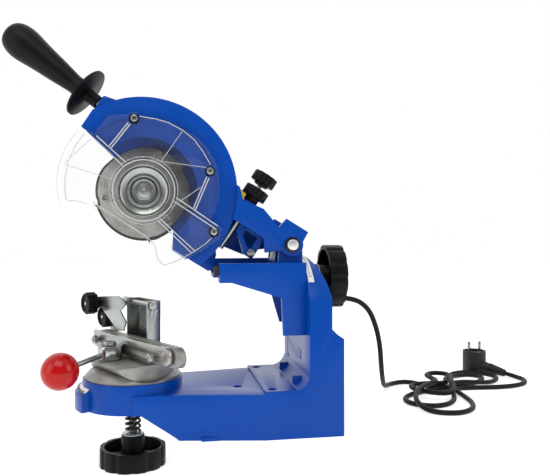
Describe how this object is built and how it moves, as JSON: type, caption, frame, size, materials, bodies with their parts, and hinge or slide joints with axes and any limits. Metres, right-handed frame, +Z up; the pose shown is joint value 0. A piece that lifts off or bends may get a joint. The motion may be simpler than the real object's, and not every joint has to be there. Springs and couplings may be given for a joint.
{
  "type": "electric chainsaw sharpener",
  "caption": "Bench-mounted electric chain sharpener: swinging guarded grinding head on a tilting arm over a swivelling, tipping chain vice with a lever clamp.",
  "frame": {"origin": "midway between the two rear bench bolts, on the foot plane", "axes": "+Z up, +X from the vice towards the column, +Y away from the operator"},
  "size_m": [0.7641, 0.34, 0.5385],
  "materials": {
    "blue_paint": "gloss",
    "black_knob": "satin",
    "zinc": "plated",
    "cast_grey": "as cast",
    "chrome": "polished",
    "spring_black": "blackened",
    "red_ball": "gloss",
    "motor_black": "satin",
    "lamination": "bare",
    "clear_guard": "clear polycarbonate",
    "scale_plate": "printed",
    "switch_yellow": "gloss",
    "button_green": "gloss",
    "button_red": "gloss",
    "black_rubber": "matt",
    "pin_metal": "nickel plated"
  },
  "bodies": {
    "base": {"base_frame": "blue_paint", "tilt_scale_plate": "scale_plate", "angle_scale_plate": "scale_plate", "cord_gland": "black_rubber", "cord_run": "black_rubber", "cord_tail": "black_rubber", "cord_coil": "black_rubber", "cord_tie": "black_rubber", "plug_body": "black_rubber", "plug_pins": "pin_metal"},
    "tilt_arm": {"support_arm": "blue_paint", "tilt_stud": "zinc", "hinge_pin": "zinc", "hinge_clips": "zinc", "rest_bumper": "black_rubber", "return_spring": "spring_black"},
    "tilt_knob": {"tilt_knob": "black_knob", "tilt_washer": "zinc"},
    "head": {"head_housing": "blue_paint", "motor_front_bracket": "cast_grey", "motor_body": "motor_black", "motor_end_cap": "motor_black", "motor_stator": "lamination", "shaft_bearings": "zinc", "clear_guard": "clear_guard", "guard_screws": "zinc", "handle_stud": "zinc", "handle_grip": "black_knob", "switch_box": "switch_yellow", "bracket_bolt": "zinc"},
    "spindle": {"rotor_shaft": "zinc", "inner_flange": "zinc", "outer_flange": "zinc", "flange_screw": "zinc"},
    "start_button": {"start_button": "button_green"},
    "stop_button": {"stop_button": "button_red"},
    "depth_screw": {"depth_screw_knob": "black_knob", "depth_screw_rod": "zinc"},
    "lock_knob": {"lock_knob": "black_knob"},
    "turntable": {"turntable": "cast_grey", "turntable_stud": "zinc"},
    "clamp_knob": {"clamp_knob": "black_knob", "knob_washer": "zinc", "knob_spring": "spring_black"},
    "vice": {"vice_saddle": "cast_grey", "fixed_jaw": "cast_grey", "jaw_studs": "zinc", "drum_bolt": "zinc", "stop_post": "zinc", "stop_pivot_rod": "zinc"},
    "moving_jaw": {"moving_jaw": "zinc"},
    "clamp_lever": {"clamp_drum": "chrome", "lever_rod": "zinc", "lever_ball": "red_ball"},
    "chain_stop": {"stop_plate": "zinc"},
    "stop_knob_upper": {"stop_knob_upper": "black_knob"},
    "stop_knob_lower": {"stop_knob_lower": "black_knob"}
  },
  "joints": [
    {"name": "arm_tilt", "type": "hinge", "parent": "base", "child": "tilt_arm", "pos_m": [0, 0, 0.184], "axis": [1, 0, 0], "range_deg": [-35, 35]},
    {"name": "tilt_knob_turn", "type": "hinge", "parent": "tilt_arm", "child": "tilt_knob", "pos_m": [0.08, 0, 0.184], "axis": [1, 0, 0], "continuous": true},
    {"name": "head_swing", "type": "hinge", "parent": "tilt_arm", "child": "head", "pos_m": [0.028, 0, 0.226], "axis": [0, -1, 0], "range_deg": [0, 20], "stiffness_Nm_per_rad": 6, "springref_deg": -103.13},
    {"name": "spindle_spin", "type": "hinge", "parent": "head", "child": "spindle", "pos_m": [-0.14969, 0, 0.29096], "axis": [0, 1, 0], "continuous": true},
    {"name": "start_press", "type": "slide", "parent": "head", "child": "start_button", "axis": [0, -1, 0], "range_m": [0, 0.003], "stiffness_N_per_m": 400, "springref_m": -0.002},
    {"name": "stop_press", "type": "slide", "parent": "head", "child": "stop_button", "axis": [0, -1, 0], "range_m": [0, 0.003], "stiffness_N_per_m": 400, "springref_m": -0.002},
    {"name": "depth_screw_turn", "type": "hinge", "parent": "head", "child": "depth_screw", "pos_m": [-0.03071, -0.025, 0.26412], "axis": [0.5446, 0, 0.8387], "continuous": true},
    {"name": "lock_knob_turn", "type": "hinge", "parent": "head", "child": "lock_knob", "pos_m": [-0.01709, -0.025, 0.28509], "axis": [0.5446, 0, 0.8387], "continuous": true},
    {"name": "table_swivel", "type": "hinge", "parent": "base", "child": "turntable", "pos_m": [-0.163, 0, 0.065], "axis": [0, 0, 1], "range_deg": [-65, 5]},
    {"name": "clamp_knob_turn", "type": "hinge", "parent": "turntable", "child": "clamp_knob", "pos_m": [-0.163, 0, 0], "axis": [0, 0, 1], "continuous": true},
    {"name": "vice_tip", "type": "hinge", "parent": "turntable", "child": "vice", "pos_m": [-0.16733, -0.0025, 0.125], "axis": [0.5, -0.866, 0], "range_deg": [-10, 10]},
    {"name": "jaw_close", "type": "slide", "parent": "vice", "child": "moving_jaw", "axis": [0.866, 0.5, 0], "range_m": [0, 0.0015]},
    {"name": "clamp_lever_swing", "type": "hinge", "parent": "vice", "child": "clamp_lever", "pos_m": [-0.19048, -0.00201, 0.095], "axis": [0, 0, 1], "range_deg": [-60, 0]},
    {"name": "chain_stop_flip", "type": "hinge", "parent": "vice", "child": "chain_stop", "pos_m": [-0.14914, 0.008, 0.1515], "axis": [0.5, -0.866, 0], "range_deg": [-95, 0]},
    {"name": "stop_knob_upper_turn", "type": "hinge", "parent": "chain_stop", "child": "stop_knob_upper", "pos_m": [-0.2115, 0.084, 0.146], "axis": [0.866, 0.5, 0], "continuous": true},
    {"name": "stop_knob_lower_turn", "type": "hinge", "parent": "vice", "child": "stop_knob_lower", "pos_m": [-0.2055, 0.07361, 0.1285], "axis": [0.866, 0.5, 0], "continuous": true}
  ],
  "couplings": [
    {"joint": "jaw_close", "follows": "clamp_lever_swing", "m_per_rad": -0.00142}
  ]
}
